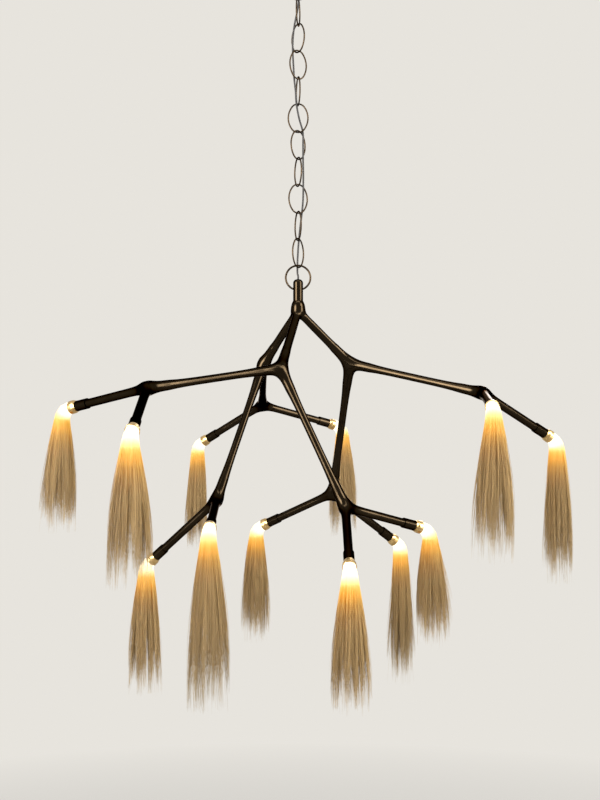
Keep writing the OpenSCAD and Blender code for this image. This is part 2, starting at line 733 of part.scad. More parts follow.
// Distance of a strand from the middle at each stop, for the outer and the inner ring
function strand_off(ring, width, i) =
    let (full = width / 2 - strand_r[4])
    (ring == 0
        ? [root_rings[0], root_rings[0], 13.5, 17, full, full * 0.9]
        : [root_rings[1], root_rings[1], 9, 8.5, full * 0.5, full * 0.42])[i];
function strand_share(i) = 0.8 + 0.2 * ((i * 0.618) % 1);
module strand(p, d, drop, width, ring, turn, share) {
    stops = [for (i = [0:5]) hair_stop(p, d, i == 5 ? drop * share : drop, i)];
    middles = [for (i = [0:5])
        stops[i][0] + strand_off(ring, width, i) * (cos(turn) * stops[i][1][0] + sin(turn) * stops[i][1][1])];
    points = concat(
        [for (i = [0:4]) for (k = [0:2])
            let (a = turn + 120 * k)
            middles[i] + strand_r[i] * (cos(a) * stops[i][1][0] + sin(a) * stops[i][1][1])],
        [middles[5]]
    );
    faces = concat(
        [[2, 1, 0]],
        [for (i = [0:3]) for (k = [0:2])
            let (
                a = 3 * i + k,
                b = 3 * i + (k + 1) % 3
            )
            each [[a, b, a + 3], [b, b + 3, a + 3]]],
        [for (k = [0:2]) [12 + k, 12 + (k + 1) % 3, 15]]
    );
    polyhedron(points = points, faces = faces, convexity = 4);
}

module tassel(b, k) {
    p = tip_point(b, k);
    d = tip_direction(b, k);
    drop = hair_drop(k)[b];
    width = hair_width(k)[b];
    color(hair) {
        translate(p) aim(d) translate([0, 0, -seat_depth + tip_gap]) difference() {
            cylinder(r = plug_outer, h = plug_depth);
            translate([0, 0, -1]) cylinder(r = plug_inner, h = plug_depth + 2);
        }
        for (i = [0:outer_strands - 1])
            strand(p, d, drop, width, 0, 360 * i / outer_strands, strand_share(i));
        for (i = [0:inner_strands - 1])
            strand(p, d, drop, width, 1, 360 * (i + 0.5) / inner_strands, strand_share(i + 5));
    }
}

// The supply cord's route, from the driver through the gland, woven down the chain,
// past the ring and into the stem
CORD_ROUTE = [
    [24, 13, -30], [24, 4, -29.5], [23, -6, -28], [18, -15, -26], [10, -21, -24.5],
    [3, -24, -27], [0, -24, -35], [0, -24, -44], [0, -24, -53.5], [0.3, -23, -60], [2, -14.5, -80], [-1.5, -6.5, -108], [-7.5, -2, -137], [-11, -0.5, -166],
    [-11.5, 0, -195], [-10, 0.5, -224], [-8.5, 0, -253], [-5.5, -3, -281.5],
    [-3.5, -4.5, -310.5], [2, 0, -339.5], [10, 4, -368.5], [10.5, 2.5, -397],
    [10.5, -0.5, -426], [11, -2, -455], [11, -0.5, -484], [10.5, 3, -513],
    [8, 8, -542], [4.5, 9.5, -570.5], [1.5, 10.5, -599.5], [-0.5, 8, -628.5],
    [-1.5, 6.5, -657.5], [-1, 5.5, -673], [0, 5.5, -676.5], [0, 5.5, -684.5],
    [0, 5.5, -715], [0, 5.5, -746.5]
];
module supply_cord() {
    color(black) swept_tube(smooth_route(CORD_ROUTE, 2), cord_diameter / 2, [1, 0, 0]);
}

ceiling_bracket();
threaded_nipple();
nipple_nuts();
canopy();
hanging_loop();
led_driver();
cord_gland();
supply_cord();
for (i = [0:link_count - 1])
    chain_link(i);
suspension_ring();
stem();
hub();
for (b = [0:2]) {
    upper_arm(b);
    main_knuckle(b);
    outer_arm(b);
    inner_arm(b);
    outer_branch(b);
    inner_branch(b);
}
arm_wiring();
tip_sleeves();
tip_collars();
light_modules();
glass_lenses();
for (b = [0:2], k = [0:3])
    tassel(b, k);
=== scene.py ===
import json
import math

import bmesh
import bpy
import numpy as np
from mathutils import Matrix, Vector

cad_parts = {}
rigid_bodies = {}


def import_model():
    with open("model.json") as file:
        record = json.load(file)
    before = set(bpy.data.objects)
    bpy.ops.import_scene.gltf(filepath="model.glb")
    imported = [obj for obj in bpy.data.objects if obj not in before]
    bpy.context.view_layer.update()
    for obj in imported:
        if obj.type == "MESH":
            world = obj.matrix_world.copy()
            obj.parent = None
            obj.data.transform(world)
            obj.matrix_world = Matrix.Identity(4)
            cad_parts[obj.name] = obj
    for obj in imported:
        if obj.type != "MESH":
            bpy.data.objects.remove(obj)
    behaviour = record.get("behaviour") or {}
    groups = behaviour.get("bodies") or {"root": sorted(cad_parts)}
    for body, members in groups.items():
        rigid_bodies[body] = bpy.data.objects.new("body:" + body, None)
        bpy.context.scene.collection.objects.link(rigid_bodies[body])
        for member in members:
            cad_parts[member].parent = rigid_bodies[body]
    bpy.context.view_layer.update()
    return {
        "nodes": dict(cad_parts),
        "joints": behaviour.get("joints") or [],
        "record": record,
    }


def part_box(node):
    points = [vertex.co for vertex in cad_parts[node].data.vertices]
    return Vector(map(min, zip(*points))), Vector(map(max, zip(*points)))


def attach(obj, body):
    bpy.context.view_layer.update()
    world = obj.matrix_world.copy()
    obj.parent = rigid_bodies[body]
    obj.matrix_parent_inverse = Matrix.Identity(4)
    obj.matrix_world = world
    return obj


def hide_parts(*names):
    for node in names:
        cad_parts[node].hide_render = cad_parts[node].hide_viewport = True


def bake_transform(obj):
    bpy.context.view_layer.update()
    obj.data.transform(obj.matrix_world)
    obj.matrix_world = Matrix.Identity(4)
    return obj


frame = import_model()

# The branch layout, as in the part's source, in metres
STEM_TOP = 0.067
CROWN = np.array([0.0, 0.0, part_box("stem")[1].z - STEM_TOP])
UNITS = "abc"
KINDS = ["outer", "side", "high", "low"]
TURNS = [0, -120, 120]
BRANCH_TURN, UPPER_REACH, MAIN_DEPTH = 12, 0.112, [0.109, 0.130, 0.104]
OUTER_TURN, OUTER_REACH, OUTER_DEPTH = -27.6, 0.294, 0.180
INNER_TURN, INNER_REACH, INNER_DEPTH = 104.4, 0.133, [0.387, 0.407, 0.398]
TIP_REACH = [0.173, 0.195, 0.180, 0.167]
TIP_TURN = [29.1, -93.8, 149.9, 30.3]
TIP_DEPTH = [[0.266, 0.266, 0.266], [0.218, 0.211, 0.225], [0.462, 0.451, 0.446], [0.498, 0.510, 0.529]]
HAIR_DROP = [[0.302, 0.267, 0.267], [0.281, 0.245, 0.277], [0.265, 0.242, 0.343], [0.322, 0.259, 0.285]]
HAIR_WIDTH = [[0.061, 0.080, 0.052], [0.078, 0.069, 0.069], [0.067, 0.069, 0.080], [0.050, 0.069, 0.067]]
UP = np.array([0.0, 0.0, 1.0])


def unit(v):
    return v / np.linalg.norm(v, axis=-1, keepdims=True)


def reach_from(base, reach, turn, depth):
    a = math.radians(turn)
    return np.array([base[0] + reach * math.cos(a), base[1] + reach * math.sin(a), CROWN[2] - depth])


def main_point(b):
    return reach_from(CROWN, UPPER_REACH, BRANCH_TURN + TURNS[b], MAIN_DEPTH[b])


def outer_point(b):
    return reach_from(main_point(b), OUTER_REACH, OUTER_TURN + TURNS[b], OUTER_DEPTH)


def inner_point(b):
    return reach_from(main_point(b), INNER_REACH, INNER_TURN + TURNS[b], INNER_DEPTH[b])


def tip_root(b, k):
    return outer_point(b) if k < 2 else inner_point(b)


def tip_point(b, k):
    return reach_from(tip_root(b, k), TIP_REACH[k], TIP_TURN[k] + TURNS[b], TIP_DEPTH[k][b])


# The photograph is taken from the front, below the crown, looking slightly up
CAMERA_X, CAMERA_DISTANCE = 0.004, 2.4526
CAMERA_DEPTH, TARGET_DEPTH = 0.319, 0.188
CAMERA_LENS, CAMERA_SENSOR = 52.65, 36


def add_camera():
    camera = bpy.data.objects.new("camera", bpy.data.cameras.new("camera"))
    bpy.context.scene.collection.objects.link(camera)
    at = Vector((CAMERA_X, -CAMERA_DISTANCE, CROWN[2] - CAMERA_DEPTH))
    to = Vector((CAMERA_X, 0.0, CROWN[2] - TARGET_DEPTH))
    camera.location = at
    camera.rotation_euler = (to - at).to_track_quat("-Z", "Y").to_euler()
    camera.data.lens = CAMERA_LENS
    camera.data.sensor_width = CAMERA_SENSOR
    bpy.context.scene.camera = camera


add_camera()


# Materials
class Shader:
    """A Principled material and short calls for the nodes that vary it."""

    def __init__(self, name, **values):
        self.material = bpy.data.materials.new(name)
        self.material.use_nodes = True
        self.nodes = self.material.node_tree.nodes
        self.links = self.material.node_tree.links
        self.shader = self.nodes["Principled BSDF"]
        self.coordinates = self.nodes.new("ShaderNodeTexCoord").outputs["Object"]
        for socket, value in values.items():
            self.shader.inputs[socket.replace("_", " ")].default_value = value

    def put(self, socket, output):
        self.links.new(output, self.shader.inputs[socket])
        return self

    def feed(self, node, name, value):
        if isinstance(value, bpy.types.NodeSocket):
            self.links.new(value, node.inputs[name])
        else:
            node.inputs[name].default_value = value

    def noise(self, scale, detail=4.0, roughness=0.55):
        node = self.nodes.new("ShaderNodeTexNoise")
        self.links.new(self.coordinates, node.inputs["Vector"])
        node.inputs["Scale"].default_value = scale
        node.inputs["Detail"].default_value = detail
        node.inputs["Roughness"].default_value = roughness
        return node.outputs["Fac"]

    def cells(self, scale):
        node = self.nodes.new("ShaderNodeTexVoronoi")
        self.links.new(self.coordinates, node.inputs["Vector"])
        node.inputs["Scale"].default_value = scale
        return node.outputs["Color"]

    def ramp(self, value, stops):
        node = self.nodes.new("ShaderNodeValToRGB")
        self.links.new(value, node.inputs["Fac"])
        elements = node.color_ramp.elements
        while len(elements) < len(stops):
            elements.new(0.5)
        for element, (place, colour) in zip(elements, stops):
            element.position = place
            element.color = (*colour, 1.0)
        return node.outputs["Color"]

    def span(self, value, low, high, from_low=0.3, from_high=0.7):
        node = self.nodes.new("ShaderNodeMapRange")
        self.links.new(value, node.inputs["Value"])
        ends = {"From Min": from_low, "From Max": from_high, "To Min": low, "To Max": high}
        for name, number in ends.items():
            node.inputs[name].default_value = number
        return node.outputs["Result"]

    def math(self, operation, a, b=0.0):
        node = self.nodes.new("ShaderNodeMath")
        node.operation = operation
        self.feed(node, 0, a)
        self.feed(node, 1, b)
        return node.outputs["Value"]

    def mix(self, share, a, b, blend="MIX"):
        node = self.nodes.new("ShaderNodeMix")
        node.data_type = "RGBA"
        node.blend_type = blend
        for place, value in ((0, share), (6, a), (7, b)):
            self.feed(node, place, (*value, 1.0) if isinstance(value, tuple) else value)
        return node.outputs[2]

    def bump(self, height, strength, distance):
        node = self.nodes.new("ShaderNodeBump")
        node.inputs["Strength"].default_value = strength
        node.inputs["Distance"].default_value = distance
        self.links.new(height, node.inputs["Height"])
        return self.put("Normal", node.outputs["Normal"])

    def attribute(self, name):
        node = self.nodes.new("ShaderNodeAttribute")
        node.attribute_name = name
        return node.outputs["Fac"]


def bronze():
    s = Shader("dark_bronze", Metallic=1.0, Specular_Tint=(0.20, 0.15, 0.11, 1.0))
    patina = [(0.32, (0.016, 0.011, 0.006)), (0.55, (0.021, 0.0145, 0.008)), (0.76, (0.030, 0.021, 0.012))]
    s.put("Base Color", s.ramp(s.noise(14, 5, 0.6), patina))
    s.put("Roughness", s.span(s.noise(38, 6, 0.65), 0.12, 0.22))
    return s.bump(s.noise(170, 3), 0.03, 0.0005).material


def chain_bronze():
    s = Shader("chain_bronze", Metallic=1.0, Specular_Tint=(0.30, 0.24, 0.18, 1.0))
    patina = [(0.35, (0.020, 0.013, 0.007)), (0.7, (0.055, 0.038, 0.022))]
    s.put("Base Color", s.ramp(s.noise(60, 4), patina))
    s.put("Roughness", s.span(s.noise(120, 4), 0.26, 0.42))
    return s.bump(s.noise(420, 3), 0.25, 0.0004).material


def brass():
    s = Shader("polished_brass", Metallic=1.0)
    s.put("Base Color", s.ramp(s.noise(45, 4), [(0.3, (0.40, 0.25, 0.09)), (0.7, (0.62, 0.43, 0.19))]))
    s.put("Roughness", s.span(s.noise(160, 5), 0.20, 0.38))
    return s.bump(s.noise(600, 2), 0.12, 0.0002).material


def zinc():
    s = Shader("zinc_steel", Metallic=1.0)
    s.put("Base Color", s.mix(0.25, (0.60, 0.61, 0.62), s.cells(140), "SOFT_LIGHT"))
    return s.put("Roughness", s.span(s.noise(90, 4), 0.30, 0.50)).material


def plastic(name, dark, light, grain):
    s = Shader(name)
    s.put("Base Color", s.ramp(s.noise(30, 4), [(0.3, dark), (0.7, light)]))
    s.put("Roughness", s.span(s.noise(110, 4), 0.42, 0.60))
    return s.bump(s.noise(grain, 2), 0.15, 0.0003).material


def aluminium():
    s = Shader("module_metal", Metallic=1.0)
    s.put("Base Color", s.ramp(s.noise(50, 4), [(0.3, (0.62, 0.62, 0.63)), (0.7, (0.78, 0.78, 0.77))]))
    return s.put("Roughness", s.span(s.noise(300, 4), 0.28, 0.42)).material


def lens():
    s = Shader("lens_glass", IOR=1.5, Emission_Color=(1.0, 0.80, 0.48, 1.0), Emission_Strength=5.0)
    s.put("Base Color", s.ramp(s.noise(260, 3), [(0.3, (0.95, 0.84, 0.62)), (0.7, (1.0, 0.93, 0.78))]))
    return s.put("Roughness", s.span(s.noise(400, 3), 0.35, 0.55)).material


# The braid of the cord runs in its own coordinates: turns round it, and metres along it
BRAID_TURNS, BRAID_PITCH = 8, 0.012


def braid():
    s = Shader("cord_fabric", Sheen_Weight=0.4, Sheen_Roughness=0.5)
    split = s.nodes.new("ShaderNodeSeparateXYZ")
    where = s.nodes.new("ShaderNodeUVMap")
    where.uv_map = "braid"
    s.links.new(where.outputs["UV"], split.inputs["Vector"])
    round_it = s.math("MULTIPLY", split.outputs["X"], BRAID_TURNS * 2 * math.pi)
    along_it = s.math("MULTIPLY", split.outputs["Y"], BRAID_TURNS * 2 * math.pi / BRAID_PITCH / 2)
    left = s.math("SINE", s.math("ADD", round_it, along_it))
    right = s.math("SINE", s.math("SUBTRACT", round_it, along_it))
    weave = s.math("MAXIMUM", left, right)
    tone = s.span(weave, 0, 1, -0.4, 1.0)
    s.put("Base Color", s.ramp(tone, [(0.0, (0.006, 0.005, 0.004)), (1.0, (0.045, 0.036, 0.028))]))
    s.put("Roughness", s.span(s.noise(500, 3), 0.70, 0.90))
    return s.bump(weave, 0.5, 0.0004).material


# The hair's colours run along this length, which is more than any strand's own
HAIR_LENGTH = 0.42


def horsehair():
    """Hair with a painted glow from the lamp in its collar: white hot at the collar, amber below it, then
    blond to the ends.
    """
    s = Shader("horsehair", Specular_IOR_Level=0.1, Emission_Strength=1.0)
    along = s.math("DIVIDE", s.attribute("along"), HAIR_LENGTH)
    tone = s.attribute("tone")
    # Base colour: painted glow near the collar, pale then amber, over the hair's own blond, which grows
    # darker towards the ends
    colour = s.ramp(along, [
        (0.0, (0.80, 0.70, 0.50)), (0.09, (0.70, 0.48, 0.15)), (0.15, (0.66, 0.45, 0.14)),
        (0.24, (0.61, 0.41, 0.175)), (0.50, (0.54, 0.38, 0.185)), (0.85, (0.42, 0.31, 0.16)),
    ])
    streak = s.ramp(tone, [(0.0, (0.72, 0.67, 0.60)), (0.5, (0.96, 0.94, 0.91)), (1.0, (1.20, 1.18, 1.12))])
    streaked = s.mix(1.0, colour, streak, "MULTIPLY")
    s.put("Base Color", s.mix(s.span(along, 0.2, 1.0, 0.03, 0.2), colour, streaked))
    s.put("Roughness", s.span(tone, 0.38, 0.58, 0, 1))
    # Painted glow: the emission stands in for the collar lamp's light shining through the hair, white hot at
    # the collar, then amber, and gone by 0.28 of the length
    s.put("Emission Color", s.ramp(along, [
        (0.0, (1.0, 1.0, 0.90)), (0.055, (0.94, 0.88, 0.68)), (0.078, (0.70, 0.52, 0.24)),
        (0.095, (0.52, 0.30, 0.05)), (0.112, (0.42, 0.20, 0.008)), (0.138, (0.32, 0.13, 0.003)),
        (0.168, (0.15, 0.05, 0.001)), (0.21, (0.05, 0.014, 0.0)), (0.28, (0.0, 0.0, 0.0)),
    ]))
    return s.material


MATERIALS = {
    "dark_bronze": bronze(),
    "chain_bronze": chain_bronze(),
    "polished_brass": brass(),
    "zinc_steel": zinc(),
    "driver_plastic": plastic("driver_plastic", (0.74, 0.74, 0.71), (0.82, 0.82, 0.80), 900),
    "gland_plastic": plastic("gland_plastic", (0.012, 0.012, 0.012), (0.025, 0.025, 0.025), 900),
    "cord_fabric": braid(),
    "wire_insulation": plastic("wire_insulation", (0.30, 0.025, 0.02), (0.40, 0.04, 0.03), 600),
    "module_metal": aluminium(),
    "lens_glass": lens(),
    "horsehair": horsehair(),
}
SLOTS = {row["node"]: row["material_slot"] for row in frame["record"]["subparts"]}


def add_mesh(name, points, faces, slot, sharp_faces=0):
    """A smooth mesh piece with its slot's material. The last sharp_faces faces stay flat."""
    mesh = bpy.data.meshes.new(name)
    mesh.from_pydata(np.asarray(points).tolist(), [], faces)
    mesh.materials.append(MATERIALS[slot])
    mesh.polygons.foreach_set("use_smooth", [i < len(faces) - sharp_faces for i in range(len(faces))])
    mesh.update()
    piece = bpy.data.objects.new(name, mesh)
    bpy.context.scene.collection.objects.link(piece)
    return piece


# The supply cord, woven through the chain, by points in millimetres
CORD_DIAMETER = 0.004
CORD_ROUTE = np.array([
    [24, 13, -30], [24, 4, -29.5], [23, -6, -28], [18, -15, -26], [10, -21, -24.5],
    [3, -24, -27], [0, -24, -35], [0, -24, -44], [0, -24, -53.5], [0.3, -23, -60],
    [2, -14.5, -80], [-1.5, -6.5, -108], [-7.5, -2, -137], [-11, -0.5, -166],
    [-11.5, 0, -195], [-10, 0.5, -224], [-8.5, 0, -253], [-5.5, -3, -281.5],
    [-3.5, -4.5, -310.5], [2, 0, -339.5], [10, 4, -368.5], [10.5, 2.5, -397],
    [10.5, -0.5, -426], [11, -2, -455], [11, -0.5, -484], [10.5, 3, -513],
    [8, 8, -542], [4.5, 9.5, -570.5], [1.5, 10.5, -599.5], [-0.5, 8, -628.5],
    [-1.5, 6.5, -657.5], [-1, 5.5, -673], [0, 5.5, -676.5], [0, 5.5, -684.5],
    [0, 5.5, -715], [0, 5.5, -746.5],
]) / 1000
CORD_STEPS, CORD_SIDES = 10, 16
KNOT_POWER = 0.75
# A bend of the cord reaches this far to each side of its hinge, and neighbours keep a small gap
BEND_REACH, BEND_GAP = 0.022, 0.001
ABOVE_ALL, BELOW_ALL = 1.0, -9.0


def smooth_route(p, steps):
    """A smooth curve through the points, even where some of them lie closer together."""
    ends = np.vstack([2 * p[0] - p[1], p, 2 * p[-1] - p[-2]])
    route = []
    for i in range(len(p) - 1):
        a, b, c, d = ends[i:i + 4]
        s, t, r = (np.linalg.norm(y - x) ** KNOT_POWER for x, y in ((a, b), (b, c), (c, d)))
        leave = (c - b) + t * ((b - a) / s - (c - a) / (s + t))
        reach = (c - b) + t * ((d - c) / r - (d - b) / (t + r))
        for u in np.arange(steps) / steps:
            route.append((2 * u**3 - 3 * u**2 + 1) * b + (u**3 - 2 * u**2 + u) * leave
                         + (3 * u**2 - 2 * u**3) * c + (u**3 - u**2) * reach)
    return np.array(route + [p[-1]])


def carried_sides(ways):
    """A direction across each place of the route that turns no more than the route does."""
    sides = [np.array([1.0, 0.0, 0.0])]
    for way in ways:
        last = sides[-1]
        sides.append(unit(last - (last @ way) * way))
    return np.array(sides[1:])


def cord_piece(name, route, sides, start):
    """A stretch of cord over its part of the route, with its braid's coordinates."""
    ways = unit(np.gradient(route, axis=0))
    first = unit(sides - (sides * ways).sum(1, keepdims=True) * ways)
    second = np.cross(ways, first)
    turn = (np.arange(CORD_SIDES) / CORD_SIDES * 2 * math.pi)[None, :, None]
    ring = CORD_DIAMETER / 2 * (np.cos(turn) * first[:, None] + np.sin(turn) * second[:, None])
    points = (route[:, None] + ring).reshape(-1, 3)
    far = start + np.concatenate([[0], np.cumsum(np.linalg.norm(np.diff(route, axis=0), axis=1))])
    faces, map_points = [], []
    for i in range(len(route) - 1):
        for k in range(CORD_SIDES):
            p, q = i * CORD_SIDES + k, i * CORD_SIDES + (k + 1) % CORD_SIDES
            faces.append([p, q, q + CORD_SIDES, p + CORD_SIDES])
            here, there = k / CORD_SIDES, (k + 1) / CORD_SIDES
            map_points += [(here, far[i]), (there, far[i]), (there, far[i + 1]), (here, far[i + 1])]
    faces += [list(range(CORD_SIDES))[::-1], [(len(route) - 1) * CORD_SIDES + k for k in range(CORD_SIDES)]]
    map_points += [(0, far[0])] * CORD_SIDES + [(0, far[-1])] * CORD_SIDES
    piece = add_mesh(name, points, faces, "cord_fabric", sharp_faces=2)
    uv = piece.data.uv_layers.new(name="braid")
    uv.data.foreach_set("uv", np.array(map_points, float).ravel())
    return piece, far[-1]


def make_cord():
    """The cord is cut into pieces, one round each hinge, from one link's middle to the next.

    The last piece reaches down into the stem's top, where the cord goes in.
    """
    route = smooth_route(CORD_ROUTE, CORD_STEPS)
    sides = carried_sides(unit(np.gradient(route, axis=0)))
    hinges = [(j["parent"], j["child"], j["pos_m"][2]) for j in frame["joints"] if j["type"] == "hinge"]
    ring_z, stem_top = hinges[-2][2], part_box("stem")[1].z
    bends = [(a, b, z + BEND_REACH, z - BEND_REACH) for a, b, z in hinges[:-1]]
    bends[-1] = (*bends[-1][:3], ring_z - BEND_GAP / 2)
    bends.append((*hinges[-1][:2], ring_z - BEND_GAP, stem_top + BEND_GAP))
    between = [(above[3] + below[2]) / 2 for above, below in zip(bends, bends[1:])]
    cuts = [ABOVE_ALL] + between + [BELOW_ALL]
    far = 0.0
    for i, (a, b, start, end) in enumerate(bends):
        inside = np.flatnonzero((route[:, 2] <= cuts[i]) & (route[:, 2] > cuts[i + 1]))
        low, high = inside[0], min(inside[-1] + 2, len(route))
        piece, far = cord_piece(f"cord_{i + 1:02d}", route[low:high], sides[low:high], far)
        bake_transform(piece)
        if i == 0:
            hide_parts("supply_cord")


make_cord()

# Smooth forks: the skin lies where a knuckle's round limbs melt into each other
WEB, HUB_WEB = 0.008, 0.0025
LIMB_CORE = 0.010
ARM_END, UPPER_START = 0.020, 0.017
TIP_ARM_END = 0.0172
KNUCKLE_REACH = 0.046
HUB_REACH, HUB_TOP, HUB_DIAMETER, STEM_DIAMETER = 0.032, 0.021, 0.030, 0.021
# A tip arm ends this far behind its collar's mouth
TIP_BACK = 0.03415
# How fast a limb grows from its core to its end
ARM_FALL, TIP_FALL, UPPER_FALL = 5, 18, 2
STEM_POWER, STEM_FALL = 3, 1
SEAM_STEPS = 72
SLEEVE_RINGS, ARM_RINGS = 14, 16
# A limb that goes on by less than this beyond its sleeve has no rings of its own there
SHORT_ARM = 0.001
SKIN_FARTHEST, HALVINGS = 0.06, 27
WELD_DISTANCE = 1e-6


def limb(way, length, start, end, power, fall):
    return {"way": unit(way), "length": length, "start": start, "end": end, "power": power, "fall": fall}


def arm_limb(start, to):
    return limb(to - start, KNUCKLE_REACH, LIMB_CORE / 2, ARM_END / 2, 1, ARM_FALL)


def tip_limb(b, k):
    way = tip_point(b, k) - tip_root(b, k)
    return limb(way, np.linalg.norm(way) - TIP_BACK, LIMB_CORE / 2, TIP_ARM_END / 2, 1, TIP_FALL)


def skin(points, limbs, melt):
    """How far each point lies outside the skin, and below zero inside it."""
    total = 0
    for part in limbs:
        t = np.maximum(0, points @ part["way"])
        near = np.minimum(1, t / part["length"])
        radius = part["end"] + (part["start"] - part["end"]) * (1 - near ** part["power"]) ** part["fall"]
        total = total + np.exp((radius - np.linalg.norm(points - t[..., None] * part["way"], axis=-1)) / melt)
    return -melt * np.log(total)


def skin_reach(base, ways, limbs, melt):
    """The distance from base to the skin along each way, found by halving."""
    near, far = np.zeros(len(ways)), np.full(len(ways), SKIN_FARTHEST)
    for _ in range(HALVINGS):
        mid = (near + far) / 2
        outside = skin(base + mid[:, None] * ways, limbs, melt) > 0
        far, near = np.where(outside, mid, far), np.where(outside, near, mid)
    return (near + far) / 2


def corner(limbs, i, j, k):
    """The way that lies as far from each of three limbs, where their sleeves meet."""
    ways = [limbs[n]["way"] for n in (i, j, k)]
    return unit(np.cross(ways[0] - ways[1], ways[1] - ways[2]))


def facing(v, d):
    return -v if v @ d < 0 else v


def seam(from_corner, to_corner, way_a, way_b, steps):
    """The ways between two corners, midway between two limbs."""
    between = unit(way_a + way_b)
    across = unit(between - (between @ from_corner) * from_corner)
    sweep = math.acos(max(-1, min(1, from_corner @ to_corner)))
    k = np.arange(steps + 1)[:, None] / steps * sweep
    return np.cos(k) * from_corner + np.sin(k) * across


# Each seam names its two limbs and its two corners. Each row names the seams round one limb, in order,
# with -1 for a seam that runs backwards
FORK_SEAMS = [(0, 1, 0, 1), (1, 2, 0, 1), (0, 2, 0, 1)]
FORK_ROWS = [[(0, 1), (2, -1)], [(1, 1), (0, -1)], [(2, 1), (1, -1)]]
HUB_SEAMS = [(1, 2, 0, 1), (2, 3, 0, 2), (1, 3, 0, 3), (0, 1, 1, 3), (0, 2, 1, 2), (0, 3, 2, 3)]
HUB_ROWS = [
    [(3, 1), (5, -1), (4, -1)],
    [(3, -1), (0, -1), (2, 1)],
    [(4, 1), (1, -1), (0, 1)],
    [(5, 1), (2, -1), (1, 1)],
]


def weld(piece):
    """Joins the points that two sleeves share along a seam, so that the shading runs across it."""
    mesh = bmesh.new()
    mesh.from_mesh(piece.data)
    bmesh.ops.remove_doubles(mesh, verts=mesh.verts, dist=WELD_DISTANCE)
    bmesh.ops.recalc_face_normals(mesh, faces=mesh.faces)
    for edge in mesh.edges:
        edge.smooth = not any(len(face.verts) > 4 for face in edge.link_faces)
    mesh.to_mesh(piece.data)
    mesh.free()


def sleeve(part, ways, limbs, reach, melt):
    """Rings of points round one limb, from its seams out to its end."""
    rings = [ways * skin_reach(np.zeros(3), ways, limbs, melt)[:, None]]
    out = unit(ways - (ways @ part["way"])[:, None] * part["way"])
    stops = [reach * (j + 1) / SLEEVE_RINGS for j in range(SLEEVE_RINGS)]
    beyond = part["length"] - reach
    if beyond > SHORT_ARM:
        stops += [reach + beyond * (j + 1) / ARM_RINGS for j in range(ARM_RINGS)]
    for t in stops:
        share = min(1, t / reach)
        turned = unit((1 - share) * ways + share * out)
        base = t * part["way"]
        far = part["end"] if t == stops[-1] else skin_reach(base, turned, limbs, melt)[:, None]
        rings.append(base + turned * far)
    return rings


def knuckle(node, centre, limbs, corners, seams, rows, reach, melt):
    """One skin round all the limbs, made of a sleeve for each of them."""
    steps = SEAM_STEPS // len(rows[0])
    arcs = [seam(corners[c], corners[d], limbs[a]["way"], limbs[b]["way"], steps) for a, b, c, d in seams]
    points, faces, caps = [], [], []
    for part, row in zip(limbs, rows):
        ways = np.concatenate([(arcs[n] if turn > 0 else arcs[n][::-1])[:-1] for n, turn in row])
        first, count = sum(len(p) for p in points), len(ways)
        rings = sleeve(part, ways, limbs, reach, melt)
        points.append(np.concatenate(rings))
        for j in range(len(rings) - 1):
            for a in range(count):
                p, q = first + j * count + a, first + j * count + (a + 1) % count
                faces.append([p, p + count, q + count, q])
        caps.append([first + (len(rings) - 1) * count + a for a in range(count)][::-1])
    points = np.concatenate(points) + centre
    piece = add_mesh(f"{node}_skin", points, faces + caps, SLOTS[node], sharp_faces=len(caps))
    weld(piece)
    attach(piece, "fixture")
    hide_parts(node)


def make_hub():
    ends = [unit(main_point(b) - CROWN) for b in (0, 2, 1)]
    limbs = [limb(UP, HUB_TOP, HUB_DIAMETER / 2, STEM_DIAMETER / 2, STEM_POWER, STEM_FALL)]
    limbs += [limb(way, HUB_REACH, UPPER_START / 2, UPPER_START / 2, 1, UPPER_FALL) for way in ends]
    corners = [
        facing(corner(limbs, 1, 2, 3), -UP),
        facing(corner(limbs, 0, 1, 2), ends[0] + ends[1]),
        facing(corner(limbs, 0, 2, 3), ends[1] + ends[2]),
        facing(corner(limbs, 0, 3, 1), ends[2] + ends[0]),
    ]
    knuckle("hub", CROWN, limbs, corners, HUB_SEAMS, HUB_ROWS, HUB_TOP, HUB_WEB)


def make_fork(node, centre, limbs):
    pole = corner(limbs, 0, 1, 2)
    knuckle(node, centre, limbs, [pole, -pole], FORK_SEAMS, FORK_ROWS, KNUCKLE_REACH, WEB)


make_hub()
for b in range(3):
    main, outer, inner = main_point(b), outer_point(b), inner_point(b)
    make_fork(f"main_knuckle_{UNITS[b]}", main, [arm_limb(main, to) for to in (CROWN, outer, inner)])
    make_fork(f"outer_branch_{UNITS[b]}", outer, [arm_limb(outer, main), tip_limb(b, 0), tip_limb(b, 1)])
    make_fork(f"inner_branch_{UNITS[b]}", inner, [arm_limb(inner, main), tip_limb(b, 2), tip_limb(b, 3)])

# Tassels: fine hair that leaves the collar along the arm, turns down and hangs in locks
STRANDS, STRAND_RINGS, STRAND_SIDES = 1200, 11, 3
LOCKS = 34
# A strand's radius at these rings, down to its tip
STRAND_R_AT = [0, 5, STRAND_RINGS - 4, STRAND_RINGS - 1]
STRAND_R = [0.00030, 0.00036, 0.00030, 0.00005]
# The bundle's radius in the collar's mouth, and where it starts to hang
MOUTH_R, HANG_R = 0.0118, 0.0165
ROOT_DEPTH, HAIR_LEAD, HAIR_BEND, HAIR_DRIFT = 0.003, 0.004, 0.027, 0.003
BEND_STOPS = [0.35, 0.7, 1.0]
# The bundle has its full width at this share of its drop
GROWN_AT, GROW_POWER = 0.85, 1.4
# How far the strands draw together into their locks, in the bend and then down to their ends
BEND_GATHER, HANG_GATHER, GATHER_POWER = 0.06, 0.40, 1.5
# The places of strands and locks in the bundle, as the least share and the power of their radius
STRAND_PLACES, LOCK_PLACES = (0.01, 0.42), (0.02, 0.36)
